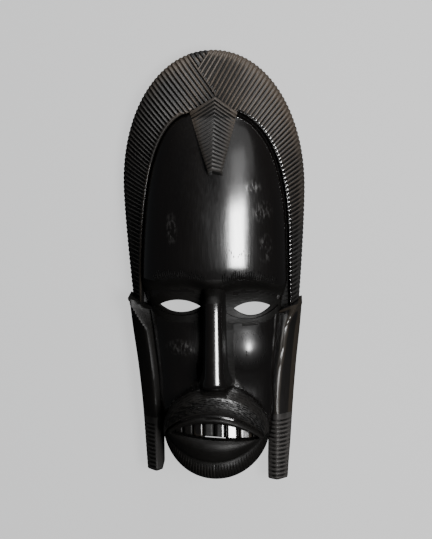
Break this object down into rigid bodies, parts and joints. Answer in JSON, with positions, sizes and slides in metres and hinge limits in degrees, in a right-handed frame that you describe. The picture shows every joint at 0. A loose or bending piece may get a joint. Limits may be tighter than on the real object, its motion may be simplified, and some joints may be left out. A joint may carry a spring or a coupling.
{
  "type": "carved wooden face mask",
  "caption": "Hollow-backed carved ebony face mask with grooved hair, slit eyes, bared teeth and long ear lobes, lying on its flat back rim.",
  "frame": {"origin": "centre of the bounding box in X and Y, on the plane of the flat back rim", "axes": "+X to the viewer's right, +Y towards the crown of the hair, +Z out of the face"},
  "size_m": [0.1674, 0.4, 0.091],
  "materials": {
    "ebony": "black ebony, oiled and polished on the face, left matt and browner in the cut hair and ear lobes"
  },
  "bodies": {
    "root": {"mask": "ebony"}
  },
  "joints": []
}
